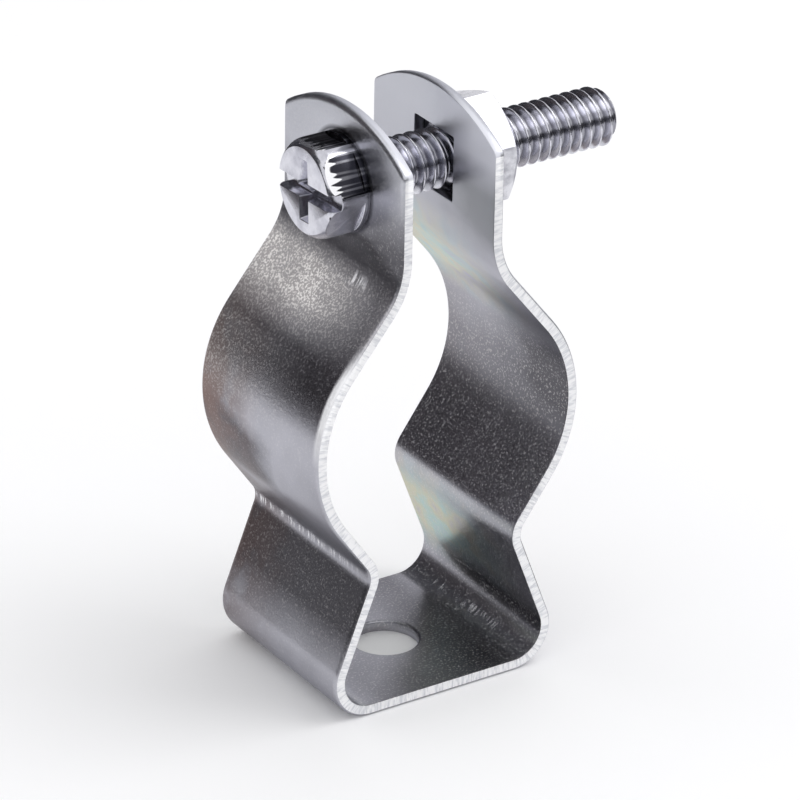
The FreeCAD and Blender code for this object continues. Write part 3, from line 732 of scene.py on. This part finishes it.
# %% The folding tree and the finished strap
def strap_tree():
    """Folds both halves of the blank, the outermost bend first."""
    numbers = {}
    for number, (start, radius, angle) in enumerate(BENDS, start=1):
        numbers["Bend %d start" % number] = start * MM
        numbers["Bend %d radius" % number] = radius * MM
        numbers["Bend %d angle" % number] = angle
    tree, inputs = new_tree("fold_strap", numbers)
    position = add(tree, "GeometryNodeInputPosition")
    x, y, z = split(tree, position)
    side = x.math("SIGN")
    place = x.math("ABSOLUTE")
    across, up = place, z
    for number in range(len(BENDS), 0, -1):
        node = tree.nodes.new("GeometryNodeGroup")
        node.node_tree = FOLD
        values = [place, across, up]
        values += [inputs["Bend %d %s" % (number, word)] for word in ("start", "radius", "angle")]
        for socket, value in zip(node.inputs, values):
            plug(tree, socket, value)
        across, up = [Field(tree, socket) for socket in node.outputs[:2]]
    parts = {"X": across * side, "Y": y, "Z": up + GAUGE / 2 * MM}
    moved = add(tree, "ShaderNodeCombineXYZ", None, parts)
    sockets = {"Geometry": inputs["Geometry"], "Position": moved}
    close_tree(tree, add(tree, "GeometryNodeSetPosition", None, sockets), STRIP)
    return tree, numbers


fold_strap, bend_numbers = strap_tree()
strap_mesh = grow("strap", BLANK, fold_strap, bend_numbers)
strap = finish_piece("strap", strap_mesh, "strap", "hanger_strap")
low = [min(v.co[axis] for v in strap.data.vertices) / MM for axis in range(3)]
high = [max(v.co[axis] for v in strap.data.vertices) / MM for axis in range(3)]
print("Strap box in mm:", [round(v, 2) for v in low + high])

# %% [markdown]
# ## The thread
# A screw thread is one groove that winds along a rod, so its radius at any point follows from
# how far along and how far round that point is. That makes it a job for Geometry Nodes: a flat
# grid is wrapped into a rod, and each point is pushed in by the depth of the groove there. The
# groove fades out before the head, and the tip is chamfered.


# %% Thread tree
def thread_tree(material):
    """A threaded rod along X from a grid, with its first and last rows closed in the middle."""
    numbers = {"Length": 1.0, "Radius": 1.0, "Pitch": 1.0, "Depth": 1.0}
    numbers.update({"Start": 0.0, "Run-out": 1.0, "Tip chamfer": 1.0})
    tree, inputs = new_tree("thread", numbers)
    x, turns, _ = split(tree, add(tree, "GeometryNodeInputPosition"))
    length, pitch = inputs["Length"], inputs["Pitch"]
    along = x.math("MAXIMUM", 0.0).math("MINIMUM", length)
    phase = (along / pitch - turns).math("FRACT")
    ridge = (phase - 0.5).math("ABSOLUTE") * 2.0
    groove = ((0.875 - ridge) * (1.0 / 0.625)).clamp()
    fading = ((along - inputs["Start"]) / inputs["Run-out"]).clamp()
    radius = inputs["Radius"] - groove * inputs["Depth"] * fading
    point = inputs["Radius"] - inputs["Tip chamfer"] + (length - along)
    radius = radius.math("MINIMUM", point)
    inside = (x + 1e-6).above(0.0) * (1.0 - (x - 1e-6 - length).above(0.0))
    radius = radius * inside
    angle = turns * (2 * math.pi)
    parts = {"X": along, "Y": radius * angle.math("COSINE"), "Z": radius * angle.math("SINE")}
    moved = add(tree, "ShaderNodeCombineXYZ", None, parts)
    sockets = {"Geometry": inputs["Geometry"], "Position": moved}
    wound = add(tree, "GeometryNodeSetPosition", None, sockets)
    sockets = {"Geometry": wound, "Distance": 1e-7}
    merged = add(tree, "GeometryNodeMergeByDistance", None, sockets)
    close_tree(tree, merged, material)
    return tree


def flat_grid(length, rows, columns):
    """A grid with one extra row at each end, and one turn from side to side."""
    shape = bmesh.new()
    ends = [-0.001] + [length * row / rows for row in range(rows + 1)] + [length + 0.001]
    points = []
    for x in ends:
        points.append([shape.verts.new((x, place / columns, 0.0)) for place in range(columns + 1)])
    for near, far in zip(points, points[1:]):
        for column in range(columns):
            shape.faces.new((near[column], near[column + 1], far[column + 1], far[column]))
    mesh = bpy.data.meshes.new("grid")
    shape.to_mesh(mesh)
    shape.free()
    return mesh


# %% [markdown]
# ## The screw
# The head is a round blank whose sides were trimmed to a hexagon, with a slot and a cross
# recess. The CAD solid already has those cuts, so a copy of its head is merged, its shank is
# taken off, and its edges get the small rounding that plating leaves. The threaded rod joins it.


# %% Head and rod
def cad_copy(node):
    """A merged copy of a CAD node as an editable mesh."""
    shape = bmesh.new()
    shape.from_mesh(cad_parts[node].data)
    bmesh.ops.remove_doubles(shape, verts=shape.verts, dist=1e-7)
    return shape


def rounded(name, mesh, width, limit):
    """The mesh with its edges rounded."""
    carrier = bpy.data.objects.new(name + "_carrier", mesh)
    bpy.context.scene.collection.objects.link(carrier)
    bevel = carrier.modifiers.new("Rounding", "BEVEL")
    bevel.width = width
    bevel.segments = 2
    bevel.limit_method = "ANGLE"
    bevel.angle_limit = math.radians(limit)
    bevel.use_clamp_overlap = False
    graph = bpy.context.evaluated_depsgraph_get()
    made = bpy.data.meshes.new_from_object(carrier.evaluated_get(graph))
    bpy.data.objects.remove(carrier)
    return made


def screw_head():
    """The head of the CAD screw, closed where its shank was."""
    shape = cad_copy("clamp_screw")
    seat = -EAR_FACE * MM
    shank = [vertex for vertex in shape.verts if vertex.co.x > seat + 1e-5]
    bmesh.ops.delete(shape, geom=shank, context="VERTS")
    rim = [edge for edge in shape.edges if edge.is_boundary]
    bmesh.ops.contextual_create(shape, geom=rim)
    flat = math.radians(0.5)
    bmesh.ops.dissolve_limit(shape, angle_limit=flat, verts=shape.verts, edges=shape.edges)
    bmesh.ops.recalc_face_normals(shape, faces=shape.faces)
    mesh = bpy.data.meshes.new("screw_head")
    shape.to_mesh(mesh)
    shape.free()
    return rounded("screw_head", mesh, 0.06 * MM, 30.0)


def threaded_rod():
    """The shank, starting a little inside the head."""
    start = 0.4
    length = SCREW_LENGTH + start
    rows = int(length / PITCH * 16)
    numbers = {"Length": length * MM, "Radius": THREAD_RADIUS * MM, "Pitch": PITCH * MM}
    numbers.update({"Depth": THREAD_DEPTH * MM, "Start": (start + 0.9) * MM})
    numbers.update({"Run-out": 1.2 * MM, "Tip chamfer": 0.75 * MM})
    rod = grow("rod", flat_grid(length * MM, rows, 72), thread_tree(SCREW), numbers)
    rod.transform(Matrix.Translation(((-EAR_FACE - start) * MM, 0.0, SCREW_HEIGHT * MM)))
    return rod


def joined(name, meshes, material):
    """Several closed shells in one mesh."""
    shape = bmesh.new()
    for mesh in meshes:
        shape.from_mesh(mesh)
    for face in shape.faces:
        face.material_index = 0
    bmesh.ops.recalc_face_normals(shape, faces=shape.faces)
    made = bpy.data.meshes.new(name)
    shape.to_mesh(made)
    shape.free()
    made.materials.append(material)
    return made


screw_mesh = joined("screw", [screw_head(), threaded_rod()], SCREW)
finish_piece("screw", screw_mesh, "screw", "clamp_screw")

# %% [markdown]
# ## The nut
# The nut is a hexagon with its corners turned off to a cone at both ends, and a threaded bore.
# Every slice through its axis has the same list of points, with radii that follow from the
# angle of the slice, so the whole nut is rings of such slices, closed on themselves.


# %% Nut slices
def hexagon(angle):
    """Distance from the axis to the side of the nut, with corners rounded by 0.25 mm."""
    fold = (angle - NUT_TURN) % (math.pi / 3)
    off = min(fold, math.pi / 3 - fold)
    corner = NUT_FLATS / math.sqrt(3)
    side = NUT_FLATS / 2 / math.cos(math.pi / 6 - off)
    bite = 0.04 * math.exp(-((off * corner / 0.18) ** 2))
    return side - bite


def nut_slice(angle):
    """The closed outline of one slice, as distances along and away from the axis."""
    rows = 68
    bore = []
    for row in range(rows + 1):
        along = NUT_LENGTH * row / rows
        phase = ((along + EAR_FACE * 2 + 0.4) / PITCH - angle / (2 * math.pi)) % 1.0
        groove = min(max((0.875 - abs(phase - 0.5) * 2) / 0.625, 0.0), 1.0)
        radius = THREAD_RADIUS + 0.04 - groove * (THREAD_DEPTH - 0.02)
        mouth = THREAD_RADIUS + 0.45 - min(along, NUT_LENGTH - along)
        bore.append((along, max(radius, mouth)))
    side = hexagon(angle)
    slope = math.tan(math.radians(30.0))
    step = (side - NUT_FACE) * slope
    outside = [(0.0, NUT_FACE - 0.08), (0.02, NUT_FACE)]
    outside += [(step - 0.02, side - 0.05), (step + 0.06, side), (NUT_LENGTH / 2, side)]
    outside += [(NUT_LENGTH - along, radius) for along, radius in reversed(outside[:4])]
    return outside + bore[::-1]


def nut_angles():
    """Slice angles, closer together near the six corners."""
    steps = [0.0, 0.01, 0.025, 0.045, 0.08, 0.14, 0.22, 0.32, 0.43, 0.54]
    sixth = math.pi / 3
    marks = [step * sixth for step in steps]
    marks += [sixth - step * sixth for step in reversed(steps[1:]) if step < 0.5]
    return [NUT_TURN + side * sixth + mark for side in range(6) for mark in marks]


def nut_mesh():
    """All slices joined into one closed ring."""
    shape = bmesh.new()
    rings = []
    for angle in nut_angles():
        ring = []
        for along, radius in nut_slice(angle):
            y, z = radius * math.cos(angle), SCREW_HEIGHT + radius * math.sin(angle)
            ring.append(shape.verts.new([value * MM for value in (EAR_FACE + along, y, z)]))
        rings.append(ring)
    for ring, following in zip(rings, rings[1:] + rings[:1]):
        count = len(ring)
        for place in range(count):
            after = (place + 1) % count
            shape.faces.new((ring[place], ring[after], following[after], following[place]))
    bmesh.ops.recalc_face_normals(shape, faces=shape.faces)
    mesh = bpy.data.meshes.new("nut")
    shape.to_mesh(mesh)
    shape.free()
    mesh.materials.append(NUT)
    return mesh


finish_piece("nut", nut_mesh(), "nut", "hex_nut", 25.0)

# %% [markdown]
# ## Floor and light
# Bright metal shows what stands round it. On a table under a soft box it sees three things: the
# pale table below, a dim room all round at eye level, and the white soft box above. That is why
# polished steel is full of dark and white bands. The set here is the same: a pale floor, a ring
# of dark cards that only reflections see, and a white world with a soft box overhead.


# %% Floor
def stage_floor():
    """A wide pale floor just under the base."""
    mesh = bpy.data.meshes.new("floor")
    reach = 3.0
    level = -0.00002
    plan = [(-reach, -reach), (reach, -reach), (reach, reach), (-reach, reach)]
    corners = [(x, y, level) for x, y in plan]
    mesh.from_pydata(corners, [], [(0, 1, 2, 3)])
    material, tree, surface = new_material("floor")
    surface.inputs["Base Color"].default_value = (0.98, 0.98, 0.985, 1.0)
    surface.inputs["Roughness"].default_value = 0.9
    mesh.materials.append(material)
    floor = bpy.data.objects.new("floor", mesh)
    bpy.context.scene.collection.objects.link(floor)
    return floor


stage_floor()


# %% [markdown]
# The world is a plain grey-white dome for soft light, and pure white where the camera or a
# reflection looks at it. One soft box adds the direction and the soft shadow. Both stay at a
# level at which a colour renders about as it is written.


# %% World and lamps
def studio_world():
    """Soft light all round, with plain white behind the object and in its reflections."""
    world = bpy.data.worlds.new("studio")
    bpy.context.scene.world = world
    world.use_nodes = True
    tree = world.node_tree
    tree.nodes.clear()
    rays = tree.nodes.new("ShaderNodeLightPath").outputs
    seen = Field(tree, rays["Is Camera Ray"]) + Field(tree, rays["Is Glossy Ray"])
    seen = (seen + Field(tree, rays["Is Transmission Ray"])).clamp()
    colour = blend(tree, seen, (0.90, 0.90, 0.91), (1.0, 1.0, 1.0))
    background = add(tree, "ShaderNodeBackground", None, {"Color": colour, "Strength": 1.0})
    output = tree.nodes.new("ShaderNodeOutputWorld")
    tree.links.new(background.socket, output.inputs["Surface"])


def soft_box(name, place, aim, size, power):
    """A soft box at a place in metres, aimed at another."""
    data = bpy.data.lights.new(name, "AREA")
    data.shape = "RECTANGLE"
    data.size, data.size_y = size
    data.energy = power
    made = bpy.data.objects.new(name, data)
    way = (Vector(aim) - Vector(place)).to_track_quat("-Z", "Y")
    made.matrix_world = Matrix.Translation(place) @ way.to_matrix().to_4x4()
    bpy.context.scene.collection.objects.link(made)
    return made


studio_world()
MIDDLE = (0.0, 0.0, 0.03)
soft_box("key_softbox", (0.49, -0.28, 0.80), MIDDLE, (0.55, 0.55), 2.0)


# %% [markdown]
# A photographer shapes metal with cards: black ones give the dark bands that make it read as
# metal, and a white one opens a shadow side. Twelve cards stand in a ring here, from the right
# of the object round by its back. The tall dark ones at the back give the dark lower halves of
# the saddles, and the low ones in front leave the soft white above them free.


# %% Ring of dark cards
def card_ring(reach, cards):
    """Upright dark cards round the table, each with its height and shade, for reflections alone."""
    for number, (height, shade) in enumerate(cards):
        angles = [2 * math.pi * (number + step) / len(cards) for step in (0, 1)]
        feet = [(reach * math.cos(angle), reach * math.sin(angle)) for angle in angles]
        corners = [(*feet[0], 0.0), (*feet[1], 0.0), (*feet[1], height), (*feet[0], height)]
        mesh = bpy.data.meshes.new("card_%d" % number)
        mesh.from_pydata(corners, [], [(0, 1, 2, 3)])
        material, tree, surface = new_material("card_%d" % number)
        surface.inputs["Base Color"].default_value = (*shade, 1.0)
        surface.inputs["Roughness"].default_value = 1.0
        mesh.materials.append(material)
        card = bpy.data.objects.new("card_%d" % number, mesh)
        card.visible_camera = False
        card.visible_shadow = False
        card.visible_diffuse = False
        bpy.context.scene.collection.objects.link(card)


CHARCOAL = (0.035, 0.035, 0.04)
UMBER = (0.055, 0.047, 0.05)
SLATE = (0.06, 0.06, 0.068)
PEWTER = (0.88, 0.88, 0.90)
TALL = 0.40
LOW = 0.09
CARDS = [(TALL, PEWTER), (TALL, PEWTER), (TALL, SLATE), (TALL, CHARCOAL), (TALL, UMBER)]
CARDS += [(TALL * 0.8, CHARCOAL), (LOW, SLATE), (LOW, CHARCOAL), (LOW, SLATE), (LOW, CHARCOAL)]
CARDS += [(LOW, SLATE), (LOW, SLATE)]
card_ring(0.21, CARDS)

# %% [markdown]
# ## Camera
# The photograph was taken from the left front and a little above, from far off, so the hanger
# hardly tapers. The camera was worked out from measured corners of the object: its turn, its
# tilt, its distance and its focal length.


# %% Camera
def photo_camera():
    """The camera of the photograph, aimed at the middle plane of the hanger."""
    azimuth, elevation, lean = (math.radians(v) for v in (-33.6076, 26.8272, 1.0583))
    distance, focal, target = 577.84, 5630.83, Vector((1.3515, 0.0, 28.6991))
    flat = math.cos(elevation)
    back = Vector((math.sin(azimuth) * flat, -math.cos(azimuth) * flat, math.sin(elevation)))
    right = (-back).cross(Vector((0, 0, 1))).normalized()
    up = right.cross(-back)
    tilted_right = right * math.cos(lean) + up * math.sin(lean)
    tilted_up = up * math.cos(lean) - right * math.sin(lean)
    data = bpy.data.cameras.new("photo_camera")
    data.sensor_width = 36.0
    data.lens = focal / 800 * data.sensor_width
    data.clip_start = 0.01
    data.clip_end = 20.0
    camera = bpy.data.objects.new("photo_camera", data)
    turn = Matrix((tilted_right, tilted_up, back)).transposed().to_4x4()
    camera.matrix_world = Matrix.Translation((target + back * distance) * MM) @ turn
    bpy.context.scene.collection.objects.link(camera)
    return camera


bpy.context.scene.camera = photo_camera()
bpy.context.scene.view_settings.view_transform = "Standard"
print("Lens: %.1f mm" % bpy.context.scene.camera.data.lens)
